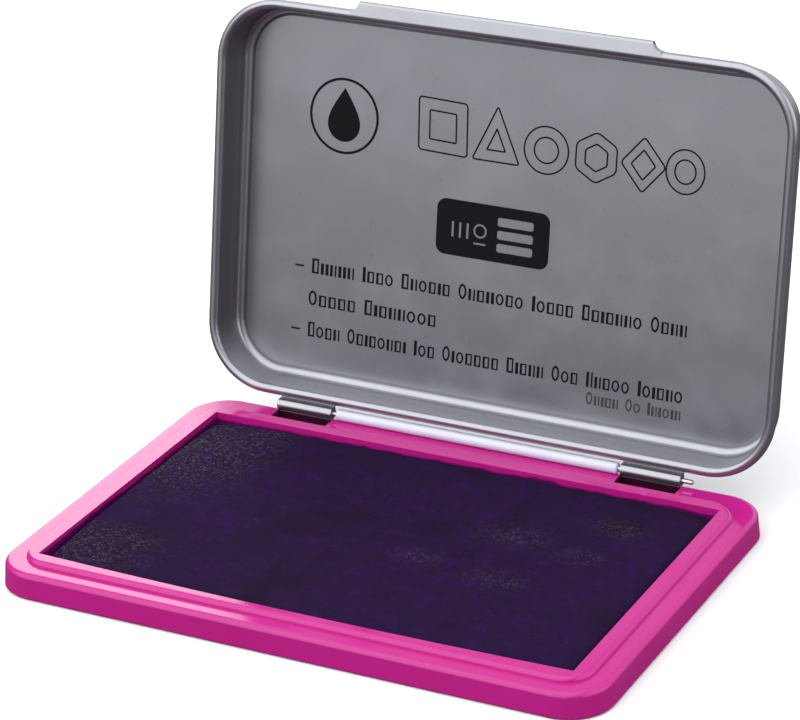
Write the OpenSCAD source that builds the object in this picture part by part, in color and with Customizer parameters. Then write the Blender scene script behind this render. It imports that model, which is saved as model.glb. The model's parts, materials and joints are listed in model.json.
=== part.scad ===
// Ink pad for rubber stamps: a moulded tray with an inked cloth pad, closed by a
// pressed metal lid that swings on a wire hinge along the tray's back edge.
// Origin: centre of the tray's underside. +X along the hinge, +Y to the hinge, +Z up.

/* [Tray] */
// outside width of the tray, along the hinge
tray_w = 99.6; // [80:0.2:140]
// outside depth of the tray, front to back
tray_d = 67.4; // [50:0.2:100]
// radius of the tray's outside corners
tray_r = 7; // [5:0.5:12]
// height of the ledge that the closed lid rests on
ledge_h = 4.1; // [3:0.1:8]
// radius of the rounded edge along the top of the outer wall
edge_r = 0.9; // [0.3:0.1:2]
// how far the outer wall leans in over its height
wall_draft = 0.25; // [0:0.05:1]
// thickness of the tray's floor under the pad
floor_t = 1.2; // [0.8:0.1:2]

/* [Raised frame and well] */
// width of the well that holds the pad
well_w = 88; // [70:0.5:130]
// depth of the well, front to back, at its ends
well_d = 54; // [40:0.5:90]
// distance of the well's centre in front of the tray's centre
well_shift = 0.9; // [0:0.1:3]
// how far the well's front wall bows out at its middle
well_bow = 0.8; // [0.2:0.1:1.5]
// width of the raised frame round the well, at the front and the sides
frame_w = 2.6; // [2.2:0.1:5]
// width of the raised frame behind the well
frame_back_w = 2.9; // [1.5:0.1:4]
// height of the raised frame above the ledge
frame_step = 0.8; // [0.3:0.1:2]
// radius of the raised frame's outside corners at the front
frame_r_front = 4.6; // [4:0.1:6]
// radius of the raised frame's outside corners at the back
frame_r_back = 5.4; // [4:0.1:6.4]

/* [Pad] */
// height of the felt's top above the tray's underside
felt_top = 3.7; // [2:0.1:4]
// height of the cloth's top at the edge of the pad
cloth_top = 4.4; // [4.1:0.1:6]
// gap between the felt and the walls of the well
felt_gap = 0.5; // [0.1:0.1:1.5]
// corner radius of the pad
pad_r = 2.5; // [1:0.5:6]

/* [Hinge] */
// height of the hinge wire above the tray's underside
axis_z = 5.0; // [4:0.1:9]
// distance of the hinge wire in front of the tray's back edge
axis_in = 0.8; // [0:0.1:4]
// radius of the hinge wire
wire_r = 0.4; // [0.3:0.05:1]
// left and right ends of the hinge wire
wire_x = [-36.3, 36.9]; // [-46:0.1:46]
// running clearance between the wire and the lid's curls
wire_gap = 0.03; // [0.01:0.01:0.1]
// outside radius of the curls rolled from the lid's sheet
curl_r = 1.0; // [0.8:0.05:1.2]
// left and right ends of the left curl
curl_left_x = [-35.9, -26.1]; // [-45:0.1:-1]
// left and right ends of the right curl
curl_right_x = [24.8, 34.9]; // [1:0.1:45]
// outside radius of the barrel between the curls
barrel_r = 0.95; // [0.8:0.05:1.3]
// left and right ends of the barrel
barrel_x = [-25.3, 24.3]; // [-40:0.1:40]
// rounding of the barrel's ends
barrel_end_r = 0.45; // [0.1:0.05:0.6]
// depth of the pockets in the ledge under the curls
pocket_depth = 1.9; // [1:0.1:2.5]
// room between a pocket's ends and its curl
pocket_gap = 0.1; // [0.1:0.1:1]

/* [Lid] */
// outside width of the lid over its rolled rim
lid_w = 99; // [80:0.2:140]
// distance from the hinge wire to the rim at the front of the lid
lid_front = 66.3; // [50:0.1:100]
// distance from the hinge wire to the rim at the back of the lid
lid_back = 1.45; // [1.3:0.05:4]
// radius of the lid's outside corners
lid_r = 10.8; // [9:0.1:11]
// radius of the bead rolled along the rim
bead_r = 0.83; // [0.5:0.01:1.5]
// distance of the rim's face below the hinge wire when the lid is shut
rim_drop = 0.85; // [0.5:0.05:2]
// depth inside the lid, from the rim's face to the flat of the top
lid_depth = 7.0; // [5:0.1:15]
// thickness of the lid's sheet
sheet_t = 0.35; // [0.2:0.05:0.6]
// inside radius between the lid's wall and its top
lid_fillet = 1.1; // [0.5:0.1:3]
// height of the small step round the lid's top
panel_step = 0.2; // [0:0.05:0.5]
// how far the lid stands open, from shut
open_angle = 99.5; // [0:0.5:100]

/* [Thumb lip] */
// length of the lip along the front of the lid
lip_len = 49.8; // [20:0.2:80]
// distance of the lip's middle from the lid's middle
lip_x = 0.6; // [-5:0.1:5]
// how far the lip stands out past the rim
lip_out = 1.5; // [0.5:0.1:3]
// radius of the lip's rounded outer edge
lip_r = 0.5; // [0.3:0.05:0.8]
// radius of the hollow curve at each end of the lip
lip_end_r = 1.5; // [0.5:0.1:3]

/* [Hidden] */
$fn = 64;
eps = 0.01;
well_front = -well_shift - well_d / 2;
well_back = -well_shift + well_d / 2;
frame_top = ledge_h + frame_step;
frame_front = well_front - frame_w;
frame_back = well_back + frame_back_w;
frame_d = frame_back - frame_front;
frame_w_out = well_w + 2 * frame_w;
axis_y = tray_d / 2 - axis_in;
bow_r = (pow(well_w / 2, 2) + pow(well_bow, 2)) / (2 * well_bow);
lid_d = lid_front - lid_back;
lid_mid = -(lid_front + lid_back) / 2;
wall_in = 2 * bead_r;
wall_lean = 0.14;
fillet_u = wall_in + wall_lean + lid_fillet;
fillet_z = lid_depth - lid_fillet;
lip_drop = 0.13;
pocket_lip = 0.4;
leaf_low = 0.43;
leaf_t = 0.32;
seam_w = 0.14;
seam_depth = 0.3;

magenta = [0.80, 0.12, 0.52];
silver = [0.62, 0.62, 0.65];
steel = [0.75, 0.75, 0.76];
white = [0.90, 0.90, 0.98];
ink = [0.20, 0.11, 0.27];

// A flat outline with corner radii rf at the front and rb at the back.
module outline(w, d, rf, rb) {
    translate([-w / 2, rf - d / 2]) square([w, d - rf - rb]);
    translate([rb - w / 2, d / 2 - rb - eps]) square([w - 2 * rb, rb + eps]);
    translate([rf - w / 2, -d / 2]) square([w - 2 * rf, rf + eps]);
    for (s = [-1, 1]) {
        translate([s * (w / 2 - rb), d / 2 - rb]) circle(rb);
        translate([s * (w / 2 - rf), rf - d / 2]) circle(rf);
    }
}

// Sweeps a profile round the edge of the same outline.
// The profile's x runs in from the edge and its y is height.
module ring(w, d, rf, rb) {
    for (s = [0, 1]) mirror([s, 0, 0]) {
        translate([-w / 2, d / 2 - rb, 0])
            rotate([90, 0, 0]) linear_extrude(d - rf - rb) children();
        translate([rb - w / 2, d / 2 - rb, 0]) rotate([0, 0, 90])
            rotate_extrude(angle = 90) translate([rb, 0]) mirror([1, 0]) children();
        translate([rf - w / 2, rf - d / 2, 0]) rotate([0, 0, 180])
            rotate_extrude(angle = 90) translate([rf, 0]) mirror([1, 0]) children();
    }
    translate([w / 2 - rb, d / 2, 0])
        rotate([90, 0, -90]) linear_extrude(w - 2 * rb) children();
    translate([rf - w / 2, -d / 2, 0])
        rotate([90, 0, 90]) linear_extrude(w - 2 * rf) children();
}

// Places a cylinder along the hinge from one x to another.
module hinge_rod(ends, r) {
    translate([ends[0], 0, 0]) rotate([0, 90, 0]) cylinder(r = r, h = ends[1] - ends[0]);
}

// Outer wall of the tray: it leans in a little and its top edge is rounded.
module tray_profile() {
    lean = wall_draft;
    polygon([[0.3, 0], [0, 0.3], [lean, ledge_h - edge_r], [lean + edge_r, ledge_h - edge_r],
             [lean + edge_r, ledge_h], [4, ledge_h], [4, 0]]);
    translate([lean + edge_r, ledge_h - edge_r]) circle(edge_r);
}

// Raised frame: it rises from the ledge in one soft quarter round.
module frame_profile() {
    polygon([[0, ledge_h - 0.3], [0, ledge_h], [frame_step, ledge_h], [frame_step, frame_top],
             [3.5, frame_top], [3.5, ledge_h - 0.3]]);
    translate([frame_step, ledge_h]) circle(frame_step);
}

// The well has sharp corners, and its front wall is slightly bowed.
module well() {
    translate([-well_w / 2, well_front, floor_t]) cube([well_w, well_d, 10]);
    intersection() {
        translate([0, well_front - well_bow + bow_r, floor_t])
            cylinder(r = bow_r, h = 10, $fn = 720);
        translate([-well_w / 2, well_front - well_bow - 1, floor_t])
            cube([well_w, well_bow + 1 + eps, 10]);
    }
}

// Pocket in the ledge under a curl. Its back wall stops lower than the ledge.
module curl_pocket(ends) {
    w = ends[1] - ends[0] + 2 * pocket_gap;
    translate([ends[0] - pocket_gap, frame_back, ledge_h - pocket_depth])
        cube([w, axis_y - frame_back, pocket_depth + frame_step]);
    translate([ends[0] - pocket_gap, frame_back, ledge_h - pocket_lip])
        cube([w, tray_d, pocket_lip + frame_step]);
}

module tray() {
    color(magenta)
    difference() {
        union() {
            ring(tray_w, tray_d, tray_r, tray_r) tray_profile();
            linear_extrude(ledge_h) outline(tray_w - 6, tray_d - 6, tray_r - 3, tray_r - 3);
            translate([0, (frame_front + frame_back) / 2, 0]) {
                ring(frame_w_out, frame_d, frame_r_front, frame_r_back) frame_profile();
                translate([0, 0, ledge_h - 0.3]) linear_extrude(frame_step + 0.3)
                    outline(frame_w_out - 5, frame_d - 5, frame_r_front - 2.5,
                            frame_r_back - 2.5);
            }
        }
        well();
        curl_pocket(curl_left_x);
        curl_pocket(curl_right_x);
        translate([0, axis_y, axis_z]) hinge_rod(barrel_x, barrel_r);
    }
}

// Barrel between the curls, seated in the ledge: the wire is pressed through it.
module hinge_barrel() {
    len = barrel_x[1] - barrel_x[0];
    e = barrel_end_r;
    color(white)
    translate([barrel_x[0], axis_y, axis_z]) rotate([0, 90, 0])
    difference() {
        union() {
            translate([0, 0, e]) cylinder(r = barrel_r, h = len - 2 * e);
            cylinder(r = barrel_r - e, h = len);
            for (z = [e, len - e])
                translate([0, 0, z]) rotate_extrude() translate([barrel_r - e, 0]) circle(e);
        }
        translate([0, 0, -1]) cylinder(r = wire_r, h = len + 2);
    }
}

module hinge_wire() {
    color(steel)
    translate([0, axis_y, axis_z]) {
        hinge_rod([wire_x[0], wire_x[1] - wire_r], wire_r);
        translate([wire_x[1] - wire_r, 0, 0]) sphere(wire_r);
    }
}

// The pad fills the well but for a narrow gap.
module pad_block(low, high) {
    translate([0, -well_shift, low]) linear_extrude(high - low)
        outline(well_w - 2 * felt_gap, well_d - 2 * felt_gap, pad_r, pad_r);
}

module pad_felt() {
    color(ink) pad_block(floor_t, felt_top);
}

module pad_cloth() {
    color(ink) pad_block(felt_top, cloth_top);
}

// Turns the lid and its curls about the hinge wire, from shut to open.
module lid_pose() {
    translate([0, axis_y, axis_z]) rotate([-open_angle, 0, 0]) children();
}

// Section through the lid's edge: bead, leaning wall, fillet, then the stepped top.
module lid_profile() {
    t = sheet_t;
    top = lid_depth - panel_step;
    translate([bead_r, bead_r]) circle(bead_r);
    polygon([[wall_in - t, bead_r], [wall_in, bead_r], [wall_in + wall_lean, fillet_z],
             [wall_in + wall_lean - t, fillet_z]]);
    difference() {
        translate([fillet_u, fillet_z]) circle(lid_fillet + t);
        translate([fillet_u, fillet_z]) circle(lid_fillet);
        translate([fillet_u, fillet_z - 5]) square([5, 10]);
        translate([fillet_u - 5, fillet_z - 5]) square([10, 5]);
    }
    polygon([[fillet_u - eps, lid_depth], [fillet_u + 0.1, lid_depth], [fillet_u + 0.6, top],
             [8, top], [8, top + t], [fillet_u + 0.6, top + t],
             [fillet_u + 0.1, lid_depth + t], [fillet_u - eps, lid_depth + t]]);
}

// Section of the lip: two circles joined by the straight lines that touch both.
module lip_profile() {
    out = lip_out + bead_r - lip_r;
    span = sqrt(out * out + lip_drop * lip_drop);
    lean = atan2(-lip_drop, out);
    spread = acos((bead_r - lip_r) / span);
    circle(bead_r);
    translate([out, -lip_drop]) circle(lip_r);
    polygon([bead_r * [cos(lean + spread), sin(lean + spread)],
             [out, -lip_drop] + lip_r * [cos(lean + spread), sin(lean + spread)],
             [out, -lip_drop] + lip_r * [cos(lean - spread), sin(lean - spread)],
             bead_r * [cos(lean - spread), sin(lean - spread)]]);
}

// Thumb lip flared from the rim at the middle of the lid's front.
module lip() {
    half = lip_len / 2 + lip_end_r;
    intersection() {
        translate([lip_x - half, -lid_front + bead_r, bead_r]) rotate([90, 0, 90])
            linear_extrude(2 * half) mirror([1, 0]) lip_profile();
        translate([lip_x, -lid_front, -1]) linear_extrude(4)
            difference() {
                translate([-half, -lip_out]) square([2 * half, lip_out + 2 * bead_r]);
                for (s = [-1, 1]) translate([s * half, -lip_out]) circle(lip_end_r);
            }
    }
}

module lid_shell() {
    color(silver)
    lid_pose() translate([0, 0, -rim_drop]) {
        translate([0, lid_mid, 0]) {
            ring(lid_w, lid_d, lid_r, lid_r) lid_profile();
            translate([0, 0, lid_depth - panel_step]) linear_extrude(sheet_t)
                outline(lid_w - 12, lid_d - 12, lid_r - 6, lid_r - 6);
        }
        lip();
    }
}

// Curl rolled from a tab of the lid's sheet: a leaf from the bead, the roll and its seam.
module curl(ends) {
    leaf = lid_back + 0.3;
    color(silver)
    lid_pose() difference() {
        union() {
            hinge_rod(ends, curl_r);
            translate([ends[0], -leaf, leaf_low]) cube([ends[1] - ends[0], leaf, leaf_t]);
        }
        hinge_rod([ends[0] - 1, ends[1] + 1], wire_r + wire_gap);
        translate([0, -lid_back - bead_r, bead_r - rim_drop])
            hinge_rod([ends[0] - 1, ends[1] + 1], bead_r);
        translate([ends[0] - 1, -curl_r, -leaf_t - seam_w / 2])
            cube([ends[1] - ends[0] + 2, seam_depth, seam_w]);
    }
}

module curl_left() { curl(curl_left_x); }
module curl_right() { curl(curl_right_x); }

tray();
hinge_barrel();
hinge_wire();
pad_felt();
pad_cloth();
lid_shell();
curl_left();
curl_right();
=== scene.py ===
import json
from math import cos, pi, radians, sin

import bpy
from mathutils import Euler, Matrix, Vector


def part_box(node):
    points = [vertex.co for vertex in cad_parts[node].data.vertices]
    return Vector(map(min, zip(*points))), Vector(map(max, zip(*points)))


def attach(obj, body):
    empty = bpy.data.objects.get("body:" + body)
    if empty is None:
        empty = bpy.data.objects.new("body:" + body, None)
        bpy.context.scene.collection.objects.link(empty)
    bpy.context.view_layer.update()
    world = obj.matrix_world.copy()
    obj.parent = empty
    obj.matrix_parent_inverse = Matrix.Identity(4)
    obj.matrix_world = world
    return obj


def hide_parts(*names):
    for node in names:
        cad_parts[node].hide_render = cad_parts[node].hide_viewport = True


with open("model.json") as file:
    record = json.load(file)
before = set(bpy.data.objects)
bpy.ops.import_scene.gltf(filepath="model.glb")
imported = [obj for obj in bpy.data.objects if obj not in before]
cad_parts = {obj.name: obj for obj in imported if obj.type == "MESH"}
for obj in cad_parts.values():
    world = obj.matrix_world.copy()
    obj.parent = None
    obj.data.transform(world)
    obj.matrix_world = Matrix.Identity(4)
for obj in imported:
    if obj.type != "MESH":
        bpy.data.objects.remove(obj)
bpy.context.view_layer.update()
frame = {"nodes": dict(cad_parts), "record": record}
nodes = frame["nodes"]


# ---------------------------------------------------------------- tray
# The tray is one injection moulding in glossy magenta plastic. It lies on the
# table on its flat underside; its well holds the pad, and where the wet pad
# touches the walls they are stained by the ink.

class Shade:
    """A value inside a material. Sums written on it add Math nodes."""

    def __init__(self, tree, socket=None):
        self.tree = tree
        self.socket = socket

    def node(self, kind, settings=None, inputs=None, out=0):
        made = self.tree.nodes.new("ShaderNode" + kind)
        for name, value in (settings or {}).items():
            setattr(made, name, value)
        for name, value in (inputs or {}).items():
            if isinstance(value, Shade):
                self.tree.links.new(value.socket, made.inputs[name])
            else:
                made.inputs[name].default_value = value
        return Shade(self.tree, made.outputs[out]) if made.outputs else None

    def math(self, operation, first, second=0.0):
        return self.node("Math", {"operation": operation}, {0: first, 1: second})

    def __add__(self, other):
        return self.math("ADD", self, other)

    def __radd__(self, other):
        return self.math("ADD", other, self)

    def __sub__(self, other):
        return self.math("SUBTRACT", self, other)

    def __rsub__(self, other):
        return self.math("SUBTRACT", other, self)

    def __mul__(self, other):
        return self.math("MULTIPLY", self, other)

    def __rmul__(self, other):
        return self.math("MULTIPLY", other, self)

    def __abs__(self):
        return self.math("ABSOLUTE", self)

    def rise(self, low, high):
        """0 below low and 1 above high, with a soft change between them."""
        return self.node("MapRange", {"interpolation_type": "SMOOTHSTEP"},
                         {"Value": self, "From Min": low, "From Max": high})


def begin(name):
    """Starts a material and gives its shader tree and the place on the object."""
    material = bpy.data.materials.new(name)
    material.use_nodes = True
    material.node_tree.nodes.clear()
    shade = Shade(material.node_tree)
    place = shade.node("TexCoord", out=3)
    return material, shade, place


def end(material, surface):
    surface.node("OutputMaterial", {}, {"Surface": surface})
    return material


def noise(place, per_metre, detail=3.0, roughness=0.5, stretch=(1, 1, 1)):
    moved = place.node("Mapping", {"vector_type": "POINT"}, {"Vector": place, "Scale": stretch})
    return place.node("TexNoise", {}, {"Vector": moved, "Scale": per_metre, "Detail": detail,
                                       "Roughness": roughness})


def mix(low, high, factor):
    return factor.node("Mix", {"data_type": "RGBA"}, {0: factor, 6: low, 7: high}, out=2)


def bump(height, distance, strength=1.0, under=None):
    inputs = {"Height": height, "Distance": distance, "Strength": strength}
    if under:
        inputs["Normal"] = under
    return height.node("Bump", {}, inputs)


def parts(place):
    """The x, y and z of a place, in metres."""
    return [place.node("SeparateXYZ", {}, {0: place}, out=i) for i in range(3)]


def finish_node(name, material):
    slots = nodes[name].data.materials
    slots.clear()
    slots.append(material)


def magenta_plastic():
    material, shade, place = begin("magenta_plastic")
    x, y, z = parts(place)
    mottle = noise(place, 70, 3)
    flow = noise(place, 260, 4, stretch=(1, 2.2, 1))
    colour = mix((0.465, 0.0100, 0.200, 1), (0.515, 0.0130, 0.232, 1), mottle)
    # Ink drawn up the walls of the well: a low band, tall on the left wall in
    # front, and small smears on the back wall.
    across = abs(x) - 0.0440
    along = abs(y + 0.0009) - 0.0270
    reach = shade.math("MAXIMUM", across, along)
    wall = 1 - abs(reach).rise(0.0001, 0.0009)
    ragged = noise(place, 330, 4, 0.6)
    left_band = (1 - x.rise(-0.0432, -0.0420)) * (1 - y.rise(-0.0050, -0.0020))
    back_band = y.rise(0.0250, 0.0258) * (1 - abs(x - 0.0130).rise(0.0020, 0.0048))
    tide = z - 0.0012 * ragged - 0.0004 * left_band - 0.0004 * back_band
    soaked = (1 - tide.rise(0.0030, 0.0035)) * wall
    colour = mix(colour, (0.050, 0.006, 0.085, 1), soaked * 0.85)
    # Painted shade: the colour in the two pockets under the curls is darkened nearly to black, and
    # made a little rougher there.
    painted_pocket_shade = (1 - z.rise(0.00375, 0.00405)) * y.rise(0.0282, 0.0286) * (1 - y.rise(0.0330, 0.0332))
    painted_pocket_shade = painted_pocket_shade * (1 - abs(abs(x) - 0.0305).rise(0.0058, 0.0062))
    colour = mix(colour, (0.022, 0.002, 0.013, 1), painted_pocket_shade * 0.95)
    # Fine scuffs from handling on the ledge and the frame.
    scuff = noise(place, 900, 2, stretch=(0.35, 6, 6)).rise(0.66, 0.74)
    scuff = scuff * noise(place, 60, 2).rise(0.45, 0.65)
    gloss = 0.085 + 0.06 * flow + 0.15 * scuff + 0.3 * painted_pocket_shade
    peel = bump(noise(place, 700, 2), 0.000006)
    grain = bump(noise(place, 6000, 2) - 0.4 * scuff, 0.0000012, 1.0, peel)
    body = shade.node("BsdfPrincipled", {}, {
        "Base Color": colour, "Roughness": gloss, "IOR": 1.45, "Normal": grain})
    return end(material, body)


finish_node("tray", magenta_plastic())


# ---------------------------------------------------------------- hinge barrel
# The barrel is a white plastic rod seated in the tray's ledge. The hinge wire
# is pressed through it, so it stays still while the lid turns.

def white_plastic():
    material, shade, place = begin("white_plastic")
    tint = noise(place, 150, 3)
    streak = noise(place, 500, 3, stretch=(0.08, 1, 1))
    specks = noise(place, 1600, 2).rise(0.72, 0.78) * noise(place, 90, 2).rise(0.5, 0.7)
    colour = mix((0.60, 0.62, 0.75, 1), (0.66, 0.68, 0.81, 1), tint)
    colour = mix(colour, (0.35, 0.25, 0.55, 1), specks * 0.6)
    body = shade.node("BsdfPrincipled", {}, {
        "Base Color": colour, "Roughness": 0.22 + 0.12 * streak, "IOR": 1.49,
        "Normal": bump(streak, 0.000004)})
    return end(material, body)


finish_node("hinge_barrel", white_plastic())


# ---------------------------------------------------------------- hinge wire
# The wire is drawn steel, 0.8 mm thick, with a rounded free end. The lid's
# curls turn on it at both sides of the barrel.

def drawn_steel():
    material, shade, place = begin("drawn_steel")
    lines = noise(place, 9000, 3, stretch=(0.02, 1, 1))
    dull = noise(place, 800, 3)
    body = shade.node("BsdfPrincipled", {}, {
        "Base Color": mix((0.50, 0.50, 0.52, 1), (0.66, 0.66, 0.67, 1), dull),
        "Metallic": 1.0, "Roughness": 0.20 + 0.16 * dull,
        "Normal": bump(lines, 0.000002)})
    return end(material, body)


finish_node("hinge_wire", drawn_steel())


# ---------------------------------------------------------------- lid and curls
# The lid is pressed from thin steel sheet and lacquered silver inside and out.
# Its rim is rolled into a bead, the front of the rim is flared into a thumb
# lip, and two tabs are curled round the wire.

def silver_lacquer():
    material, shade, place = begin("silver_lacquer")
    cloud = noise(place, 28, 3)
    flake = noise(place, 5200, 2, 0.7)
    handled = noise(place, 95, 4, 0.6).rise(0.42, 0.72)
    colour = mix((0.318, 0.320, 0.345, 1), (0.352, 0.354, 0.378, 1), cloud)
    colour = mix(colour, (0.43, 0.43, 0.45, 1), flake.rise(0.55, 0.75) * 0.35)
    rubbed = noise(place, 1500, 2, stretch=(5, 0.4, 0.4)).rise(0.68, 0.76)
    gloss = 0.27 + 0.06 * handled + 0.05 * flake - 0.05 * rubbed
    body = shade.node("BsdfPrincipled", {}, {
        "Base Color": colour, "Metallic": 0.93, "Roughness": gloss,
        "Normal": bump(flake, 0.0000015, 1.0, bump(noise(place, 420, 2), 0.000004))})
    return end(material, body)


lacquer = silver_lacquer()
for name in ("lid_shell", "curl_left", "curl_right"):
    finish_node(name, lacquer)


# ---------------------------------------------------------------- felt
# The felt is a block of pressed wool that lies on the tray's floor and holds
# the ink. The cloth hides it, and it swells a little at its middle.

WELL_X, WELL_Y = 0.0440, 0.0270
WELL_MID_Y = -0.0009
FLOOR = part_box("pad_felt")[0][2]
WELL_BOW = 0.0008
CORNER_SINK = 0.0008
GROW = 10.0


def calm():
    bpy.ops.object.select_all(action="DESELECT")


def edit(obj, kinds="VERT"):
    calm()
    obj.select_set(True)
    bpy.context.view_layer.objects.active = obj
    bpy.ops.object.mode_set(mode="EDIT")
    bpy.ops.mesh.select_mode(type=kinds)
    bpy.ops.mesh.select_all(action="DESELECT")
    bpy.ops.object.mode_set(mode="OBJECT")


def pick(obj, where, kinds="VERT"):
    """Selects the vertices, edges or faces of obj for which where(item) is true."""
    edit(obj, kinds)
    items = {"VERT": obj.data.vertices, "EDGE": obj.data.edges, "FACE": obj.data.polygons}[kinds]
    for item in items:
        item.select = bool(where(item))
    bpy.ops.object.mode_set(mode="EDIT")


def leave():
    bpy.ops.object.mode_set(mode="OBJECT")


def settle(obj):
    calm()
    obj.select_set(True)
    bpy.context.view_layer.objects.active = obj
    bpy.ops.object.transform_apply(location=True, rotation=True, scale=True)


def modifier(obj, kind, **settings):
    made = obj.modifiers.new(kind.title(), kind)
    for name, value in settings.items():
        setattr(made, name, value)
    bpy.context.view_layer.objects.active = obj
    bpy.ops.object.modifier_apply(modifier=made.name)


def pad_block(name, side, low, high, corner, edge):
    """A flat block with rounded corners, ten times full size so that cloth behaves."""
    calm()
    bpy.ops.mesh.primitive_cube_add(size=1, location=(0, 0, (low + high) / 2 * GROW))
    block = bpy.context.active_object
    block.name = name
    block.scale = ((WELL_X - side) * 2 * GROW, (WELL_Y - side) * 2 * GROW, (high - low) * GROW)
    settle(block)
    points = block.data.vertices
    pick(block, lambda e: abs(points[e.vertices[0]].co.z - points[e.vertices[1]].co.z) > 0.001,
         "EDGE")
    bpy.ops.mesh.bevel(offset=corner * GROW, segments=6, affect="EDGES")
    leave()
    top = high * GROW
    pick(block, lambda f: f.center.z > top - 0.0001, "FACE")
    bpy.ops.mesh.region_to_loop()
    bpy.ops.mesh.bevel(offset=edge * GROW, segments=4, affect="EDGES")
    leave()
    return block


def crown(block, low, high, rise_by):
    """Lifts the top into the pad's soft dome and lets its corners sink."""
    for point in block.data.vertices:
        part = max(0.0, (point.co.z / GROW - low) / (high - low))
        u = min(1.0, abs(point.co.x) / GROW / (WELL_X - 0.0004))
        v = min(1.0, abs(point.co.y) / GROW / (WELL_Y - 0.0003))
        dome = (1 - u ** 6) * (1 - v ** 5) * 0.62 + (1 - u ** 2.2) * (1 - v ** 2.2) * 0.38
        sink = (u * v) ** 5
        point.co.z += part * (dome * rise_by - sink * CORNER_SINK) * GROW


def shrink_to_place(obj):
    """Brings the pad to full size in the well; its front follows the bowed front wall."""
    obj.scale = (1 / GROW,) * 3
    obj.location = (0, WELL_MID_Y, 0)
    settle(obj)
    for point in obj.data.vertices:
        ahead = max(0.0, (WELL_MID_Y - point.co.y) / WELL_Y)
        point.co.y -= WELL_BOW * (1 - (point.co.x / WELL_X) ** 2) * ahead ** 2


def wool_felt():
    material, shade, place = begin("inked_felt")
    fibre = noise(place, 3500, 5, 0.7, stretch=(1, 1.6, 1))
    soak = noise(place, 160, 3)
    body = shade.node("BsdfPrincipled", {}, {
        "Base Color": mix((0.030, 0.012, 0.055, 1), (0.060, 0.030, 0.095, 1), soak * fibre * 2),
        "Roughness": 0.80 + 0.15 * fibre, "Specular IOR Level": 0.3,
        "Normal": bump(fibre, 0.00012)})
    return end(material, body)


FELT_TOP = 0.0035
felt = pad_block("felt_block", 0.0012, FLOOR, FELT_TOP, 0.0022, 0.0008)
modifier(felt, "REMESH", mode="VOXEL", voxel_size=0.010)
crown(felt, FLOOR, FELT_TOP, 0.0007)
shrink_to_place(felt)
bpy.ops.object.shade_smooth()
felt.data.materials.clear()
felt.data.materials.append(wool_felt())
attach(felt, "base")
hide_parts("pad_felt")


# ---------------------------------------------------------------- pad cloth
# The cover is fine woven cotton soaked in dark violet ink. It is drawn over
# the felt, tucked down all round it and held by the walls of the well.

def inked_cloth():
    material, shade, place = begin("inked_cloth")
    x, y = parts(place)[:2]
    warp = shade.math("SINE", x * (2 * pi / 0.00042) + 2.4 * noise(place, 900, 2))
    weft = shade.math("SINE", y * (2 * pi / 0.00046) + 2.4 * noise(place, 800, 2))
    weave = warp * weft * 0.5 + 0.5
    fuzz = noise(place, 2600, 4, 0.7)
    pool = noise(place, 85, 5, 0.65)
    blot = noise(place, 520, 5, 0.7)
    colour = mix((0.0190, 0.0075, 0.0345, 1), (0.0245, 0.0078, 0.0620, 1),
                 blot.rise(0.46, 0.66) * pool.rise(0.38, 0.58))
    colour = mix(colour, (0.0125, 0.0072, 0.0200, 1), (1 - pool).rise(0.50, 0.66) * 0.7)
    grit = noise(place, 1100, 3, 0.7)
    colour = mix(colour, (0.0340, 0.0170, 0.0560, 1), grit.rise(0.56, 0.72) * 0.5)
    # Where the ink has worn thin, threads stand up dry: a fixed grey in the colour stands partly for
    # the worn ink and partly for a painted sheen on them, and the light lint specks are partly painted
    # glints.
    corner = 1 - abs(x + 0.0405).rise(0.001, 0.019)
    back = corner * y.rise(-0.014, 0.020)
    front = corner * (1 - abs(y + 0.021).rise(0.002, 0.010))
    wear_and_sheen = shade.math("MAXIMUM", back, front * 0.7)
    for left, up, wide in ((0.0195, 0.0058, 0.006), (0.0222, -0.0080, 0.005),
                           (0.0307, 0.0036, 0.004), (0.0324, 0.0143, 0.005),
                           (0.0087, -0.0060, 0.004)):
        spot = shade.math("SQRT", (x - left) * (x - left) * 0.35 + (y - up) * (y - up))
        wear_and_sheen = shade.math("MAXIMUM", wear_and_sheen, (1 - spot.rise(0.0003, wide)) * 0.45)
    dry_threads_sheen = noise(place, 1300, 3, 0.75).rise(0.48, 0.62) * wear_and_sheen
    colour = mix(colour, (0.098, 0.082, 0.086, 1), dry_threads_sheen * 0.50)
    lint_and_glints = noise(place, 2400, 2, 0.6).rise(0.62, 0.70) * wear_and_sheen.rise(0.10, 0.60)
    colour = mix(colour, (0.190, 0.168, 0.176, 1), lint_and_glints * 0.6)
    colour = mix(colour, (0.012, 0.006, 0.020, 1), (1 - weave * fuzz * 1.6) * 0.35)
    bed = bump(blot, 0.00010)
    cloth_bump = bump(weave * 0.6 + fuzz * 0.6, 0.00007, 1.0, bed)
    body = shade.node("BsdfPrincipled", {}, {
        "Base Color": colour, "Roughness": 0.78 + 0.20 * fuzz, "Specular IOR Level": 0.02,
        "Normal": cloth_bump})
    return end(material, body)


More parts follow.
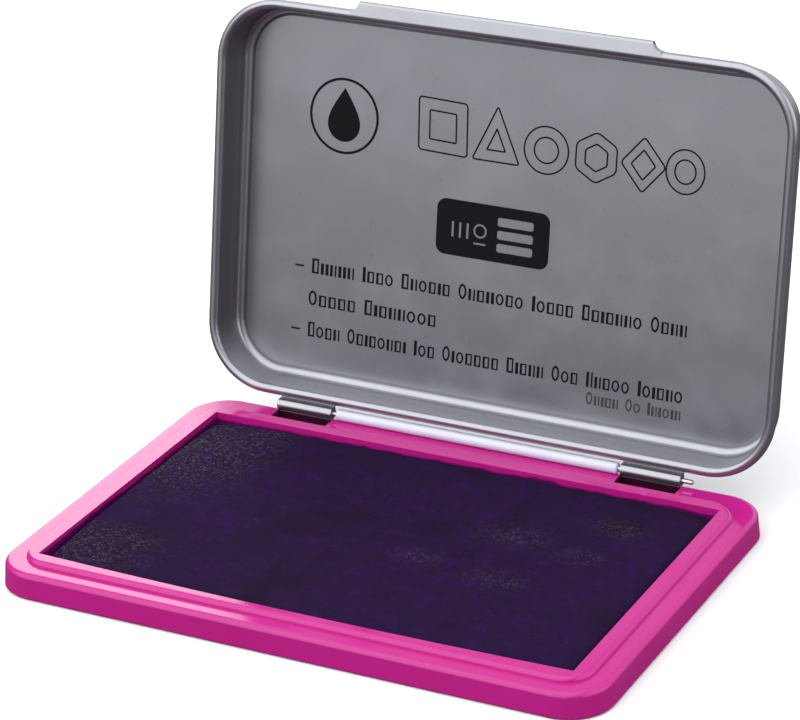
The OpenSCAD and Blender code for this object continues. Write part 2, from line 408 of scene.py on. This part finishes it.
LOW, HIGH = FLOOR + 0.0002, 0.0044
CLOTH_T = 0.0002
SWELL_CAP = 0.0002
WALL_GAP = 0.00012
CLOTH_STEPS = 20
cover = pad_block("pad_cover", 0.0003, LOW, HIGH, 0.0020, 0.0005)
modifier(cover, "REMESH", mode="VOXEL", voxel_size=0.008)
crown(cover, LOW, HIGH, 0.0003)
before = [p.co.copy() for p in cover.data.vertices]
held = cover.vertex_groups.new(name="held")
held.add([p.index for p in cover.data.vertices if p.co.z < (LOW + 0.0006) * GROW], 1.0,
         "REPLACE")
cloth = cover.modifiers.new("Cloth", "CLOTH")
cloth.settings.use_pressure = True
cloth.settings.uniform_pressure_force = 4
cloth.settings.effector_weights.gravity = 0
cloth.settings.vertex_group_mass = "held"
cloth.settings.tension_stiffness = 20
cloth.settings.compression_stiffness = 20
cloth.settings.bending_stiffness = 2
cloth.point_cache.frame_start = 1
cloth.point_cache.frame_end = CLOTH_STEPS
for step in range(1, CLOTH_STEPS + 1):
    bpy.context.scene.frame_set(step)
bpy.context.view_layer.objects.active = cover
bpy.ops.object.modifier_apply(modifier="Cloth")
bpy.context.scene.frame_set(1)
limit = SWELL_CAP * GROW
for point, was in zip(cover.data.vertices, before):
    moved = point.co - was
    if moved.length > limit:
        moved *= limit / moved.length
    point.co = was + moved
    # Slack cloth: long low waves and one faint crease near the left end.
    cx, cy = point.co.x / GROW, point.co.y / GROW
    if point.co.z > 0.75 * HIGH * GROW:
        wave = sin(cx * 210 + 1.1) * sin(cy * 260 + 0.4) + 0.6 * sin(cx * 95 - cy * 140)
        crease = max(0.0, 1 - abs((cy + 0.0072) - 0.27 * (cx + 0.0230)) / 0.0011)
        crease *= max(0.0, 1 - abs(cx + 0.0230) / 0.0075)
        point.co.z += (0.00004 * wave + 0.00025 * crease) * GROW
    reach_x, reach_y = (WELL_X - WALL_GAP) * GROW, (WELL_Y - WALL_GAP) * GROW
    point.co.x = max(-reach_x, min(reach_x, point.co.x))
    point.co.y = max(-reach_y, min(reach_y, point.co.y))
modifier(cover, "SUBSURF", levels=1, render_levels=1)
pick(cover, lambda f: f.normal.z < -0.6 and f.center.z < (LOW + 0.0003) * GROW, "FACE")
bpy.ops.mesh.delete(type="FACE")
leave()
modifier(cover, "SOLIDIFY", thickness=CLOTH_T * GROW, offset=-1)
shrink_to_place(cover)
bpy.ops.object.shade_smooth()
cover.data.materials.clear()
cover.data.materials.append(inked_cloth())
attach(cover, "base")
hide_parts("pad_cloth")


# ---------------------------------------------------------------- printing
# Plain marks are pad-printed in black on the inside of the lid: a ring with a
# drop of ink, a row of outlined stamp shapes, a size badge, and lines of
# filler strokes. The ink is a film a few hundredths of a millimetre thick.

hinge = frame["record"]["behaviour"]["joints"][0]
LEAN = radians(hinge["range_deg"][1] - 90)
PANEL = 0.00595
FILM = 0.00003


def black_print():
    material, shade, place = begin("black_print")
    wear = noise(place, 2200, 4, 0.6)
    body = shade.node("BsdfPrincipled", {}, {
        "Base Color": mix((0.0035, 0.0030, 0.0045, 1), (0.0080, 0.0075, 0.0100, 1), wear),
        "Roughness": 0.50 + 0.14 * wear, "Specular IOR Level": 0.10,
        "Normal": bump(wear, 0.000002)})
    return end(material, body)


def grey_print():
    material, shade, place = begin("grey_print")
    wear = noise(place, 3200, 4, 0.7)
    body = shade.node("BsdfPrincipled", {}, {
        "Base Color": mix((0.020, 0.020, 0.024, 1), (0.070, 0.070, 0.078, 1), wear),
        "Roughness": 0.50 + 0.12 * wear, "Specular IOR Level": 0.10,
        "Normal": bump(wear, 0.000002)})
    return end(material, body)


black, grey = black_print(), grey_print()


def print_on_lid(obj, name, ink, lift=0.0):
    """Stands a flat print up against the inside of the lid, a film thick."""
    modifier(obj, "SOLIDIFY", thickness=FILM, offset=-1)
    obj.rotation_euler = Euler((pi / 2 - LEAN, 0, 0))
    axis = Vector(hinge["pos_m"])
    obj.location = axis + Vector((0, cos(LEAN), -sin(LEAN))) * (PANEL - FILM * 0.8 - lift)
    settle(obj)
    obj.name = name
    obj.data.materials.clear()
    obj.data.materials.append(ink)
    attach(obj, "lid")


def outline(sides, radius, place, width, turn=0.0, soft=0.0, squeeze=1.0):
    """A flat outlined shape: a filled polygon, its corners rounded, with its middle cut out."""
    calm()
    bpy.ops.mesh.primitive_circle_add(vertices=sides, radius=radius, fill_type="NGON",
                                      location=(place[0], place[1], 0),
                                      rotation=(0, 0, radians(turn)))
    shape = bpy.context.active_object
    shape.scale = (squeeze, 1, 1)
    settle(shape)
    if soft:
        pick(shape, lambda v: True)
        bpy.ops.mesh.bevel(offset=soft, segments=5, affect="VERTICES")
        leave()
    pick(shape, lambda f: True, "FACE")
    bpy.ops.mesh.inset(thickness=width)
    bpy.ops.mesh.delete(type="FACE")
    leave()
    return shape


def join(first, *others):
    calm()
    for obj in (first, *others):
        obj.select_set(True)
    bpy.context.view_layer.objects.active = first
    bpy.ops.object.join()
    return first


def patch(place, size, soft=0.0):
    """A flat filled rectangle with rounded corners."""
    calm()
    bpy.ops.mesh.primitive_plane_add(size=1, location=(place[0], place[1], 0))
    shape = bpy.context.active_object
    shape.scale = (size[0], size[1], 1)
    settle(shape)
    if soft:
        pick(shape, lambda v: True)
        bpy.ops.mesh.bevel(offset=soft, segments=6, affect="VERTICES")
        leave()
    return shape


RING_X, RING_V = -0.0294, 0.0477
ring = outline(96, 0.0062, (RING_X, RING_V), 0.00042)
calm()
bpy.ops.mesh.primitive_circle_add(vertices=64, radius=0.0029, fill_type="NGON",
                                  location=(RING_X, RING_V - 0.0013, 0))
drop = bpy.context.active_object
settle(drop)
top_y = max(v.co.y for v in drop.data.vertices)
pick(drop, lambda v: v.co.y > top_y - 0.00001)
bpy.ops.transform.translate(value=(0, 0.0030, 0), use_proportional_edit=True,
                            proportional_edit_falloff="SHARP", proportional_size=0.0040)
leave()
print_on_lid(join(ring, drop), "ring_mark", black)

# Each stamp shape is a double line: sides, radius, place, turn and squeeze.
LINE = 0.00026
shapes = []
for sides, radius, place, turn, squeeze in (
        (4, 0.0064, (-0.0118, 0.0484), 45, 0.94), (3, 0.0062, (-0.0024, 0.0470), 0, 0.80),
        (64, 0.0039, (0.0062, 0.0471), 0, 1.0), (6, 0.0042, (0.0147, 0.0471), 0, 0.98),
        (4, 0.0046, (0.0226, 0.0471), 0, 0.86), (64, 0.0036, (0.0296, 0.0470), 0, 0.92)):
    soft = 0.0007 if sides < 64 else 0.0
    shapes.append(outline(sides, radius, place, LINE, turn, soft, squeeze))
    inner = radius * (0.42 if sides == 3 else 0.56)
    shapes.append(outline(sides, inner, place, LINE, turn, soft / 2, squeeze))
print_on_lid(join(*shapes), "stamp_shapes", black)

print_on_lid(patch((-0.00225, 0.03245), (0.0197, 0.0091), 0.0016), "size_badge", black)

marks = [outline(48, 0.00115, (-0.0044, 0.0325), 0.00028), patch((-0.0044, 0.0304), (0.0021, 0.00028))]
marks += [patch((x, 0.0322), (0.00034, 0.0025)) for x in (-0.0092, -0.0079, -0.0066)]
marks += [patch((0.0017, 0.0324 + row * 0.0021), (0.0062, 0.0014), 0.0004) for row in (-1, 0, 1)]
print_on_lid(join(*marks), "badge_marks", lacquer, lift=FILM)


# The filler is made of four plain marks, each drawn once, 1.9 mm tall from its
# foot at the origin, with its width: a box, a ring, a bar and a pair of bars.
MARK_TALL = 0.0019
box_mark = patch((0.00055, MARK_TALL / 2), (0.0011, MARK_TALL))
pick(box_mark, lambda f: True, "FACE")
bpy.ops.mesh.inset(thickness=0.00024)
bpy.ops.mesh.delete(type="FACE")
leave()
pick(box_mark, lambda v: 0 < v.co.x < 0.0005)
bpy.ops.transform.translate(value=(0.00012, 0, 0))
leave()
ring_form = outline(24, MARK_TALL / 2, (0.0006, MARK_TALL / 2), 0.00028, squeeze=0.66)
bar_form = patch((0.00024, MARK_TALL / 2), (0.00048, MARK_TALL))
pair_form = join(patch((0.00021, MARK_TALL / 2), (0.00042, MARK_TALL)),
                 patch((0.0009, MARK_TALL / 2), (0.00026, MARK_TALL)))
MARKS = ((box_mark, 0.0011), (ring_form, 0.0012), (bar_form, 0.0004), (pair_form, 0.0010))


def filler(name, left, right, foot, words, ink, size=1.0, dash=None):
    """A line of filler marks in groups of unlike lengths, spread from left to right."""
    line = []
    at = 0.0
    step = len(words)
    for count in words:
        for place in range(count):
            step = (step * 37 + 11) % 97
            mark, wide = MARKS[step % 4]
            tall = size * (1.32 if place == 0 else 1.0)
            line.append((mark, at, tall))
            at += (wide + 0.00036) * size
        at += 0.0011 * size
    stretch = (right - left) / (at - 0.0015 * size)
    strokes = []
    for mark, start, tall in line:
        copy = bpy.data.objects.new("stroke", mark.data.copy())
        bpy.context.collection.objects.link(copy)
        copy.scale = (size * stretch, tall, 1)
        copy.location = (left + start * stretch, foot, 0)
        settle(copy)
        strokes.append(copy)
    if dash:
        strokes.append(patch((dash, foot + 0.0010), (0.0016, 0.00030)))
    print_on_lid(join(*strokes), name, ink)


filler("filler_top", -0.0341, 0.0316, 0.0210, (7, 4, 6, 8, 5, 7, 4), black, dash=-0.0364)
filler("filler_second", -0.0345, -0.0115, 0.0156, (5, 8), black)
filler("filler_third", -0.0344, 0.0316, 0.0103, (4, 8, 3, 7, 5, 3, 5, 6), black, dash=-0.0367)
filler("filler_low", 0.0155, 0.0315, 0.0075, (5, 2, 6), grey, size=0.82)
for mark, wide in MARKS:
    bpy.data.objects.remove(mark)


# ---------------------------------------------------------------- table, light and camera
# The pad lies on a plain pale table. Broad soft lights stand in front, at both
# sides, behind and above, and a soft box behind it on the left. Only the camera
# sees the room and the table as white.

def table_top():
    material, shade, place = begin("pale_table")
    pale = mix((0.86, 0.86, 0.87, 1), (0.90, 0.90, 0.90, 1), noise(place, 9, 2))
    lit = shade.node("BsdfDiffuse", {}, {"Color": pale})
    # In reflections and in the light it gives back, the table is a dim one.
    dim = shade.node("BsdfDiffuse", {}, {"Color": (0.10, 0.10, 0.11, 1)})
    seen = shade.node("LightPath", out=0)
    return end(material, shade.node("MixShader", {}, {0: seen, 1: dim, 2: lit}))


calm()
bpy.ops.mesh.primitive_plane_add(size=8, location=(0, 0, -0.00005))
table = bpy.context.active_object
table.name = "table"
table.data.materials.append(table_top())

world = bpy.data.worlds.new("studio")
bpy.context.scene.world = world
world.use_nodes = True
world.node_tree.nodes.clear()
room = Shade(world.node_tree)
way = room.node("TexCoord", out=0)


def glow(direction, inner, outer, level):
    """Light from round one direction, full within inner degrees and gone at outer degrees."""
    facing = room.node("VectorMath", {"operation": "DOT_PRODUCT"},
                       {0: way, 1: Vector(direction).normalized()}, out=1)
    return facing.rise(cos(radians(outer)), cos(radians(inner))) * level


light = (glow((-0.25, -0.62, 0.75), 30, 60, 1.9) + glow((-0.80, -0.60, 0.15), 20, 60, 0.60)
         + glow((0.1, 1.0, 0.5), 20, 80, 0.9) + glow((0.1, 0.0, 1.0), 15, 45, 0.6)
         + glow((0.95, 0.05, 0.25), 12, 48, 1.7) + 0.05)
seen = room.node("LightPath", out=0)
strength = seen * 0.95 + (1 - seen) * light
sky = room.node("Background", {}, {"Color": (0.97, 0.98, 1.0, 1), "Strength": strength})
room.node("OutputWorld", {}, {"Surface": sky})


def soft_box(name, place, target, wide, deep, watts):
    lamp = bpy.data.lights.new(name, "AREA")
    lamp.shape = "RECTANGLE"
    lamp.size, lamp.size_y, lamp.energy = wide, deep, watts
    obj = bpy.data.objects.new(name, lamp)
    bpy.context.collection.objects.link(obj)
    obj.location = place
    obj.rotation_euler = (Vector(target) - Vector(place)).to_track_quat("-Z", "Y").to_euler()


soft_box("window", (-0.345, 0.336, 0.206), (-0.05, -0.02, 0), 0.20, 0.30, 0.62)

# The camera stands to the right of the front, looks down, and is turned a little.
AROUND, ABOVE, ROLL = radians(27.62969), radians(24.41179), radians(-1.82769)

camera = bpy.data.cameras.new("camera")
camera.sensor_width = 36
camera.lens = 157.37
view = bpy.data.objects.new("camera", camera)
bpy.context.collection.objects.link(view)
back = Vector((sin(AROUND) * cos(ABOVE), -cos(AROUND) * cos(ABOVE), sin(ABOVE)))
sideways = Vector((0, 0, 1)).cross(back).normalized()
upright = back.cross(sideways)
right = sideways * cos(ROLL) + upright * sin(ROLL)
up = upright * cos(ROLL) - sideways * sin(ROLL)
turned = Matrix((right, up, back)).transposed().to_4x4()
turned.translation = Vector((0.221248, -0.415682, 0.246567))
view.matrix_world = turned
bpy.context.scene.camera = view
bpy.context.scene.view_settings.view_transform = "Standard"
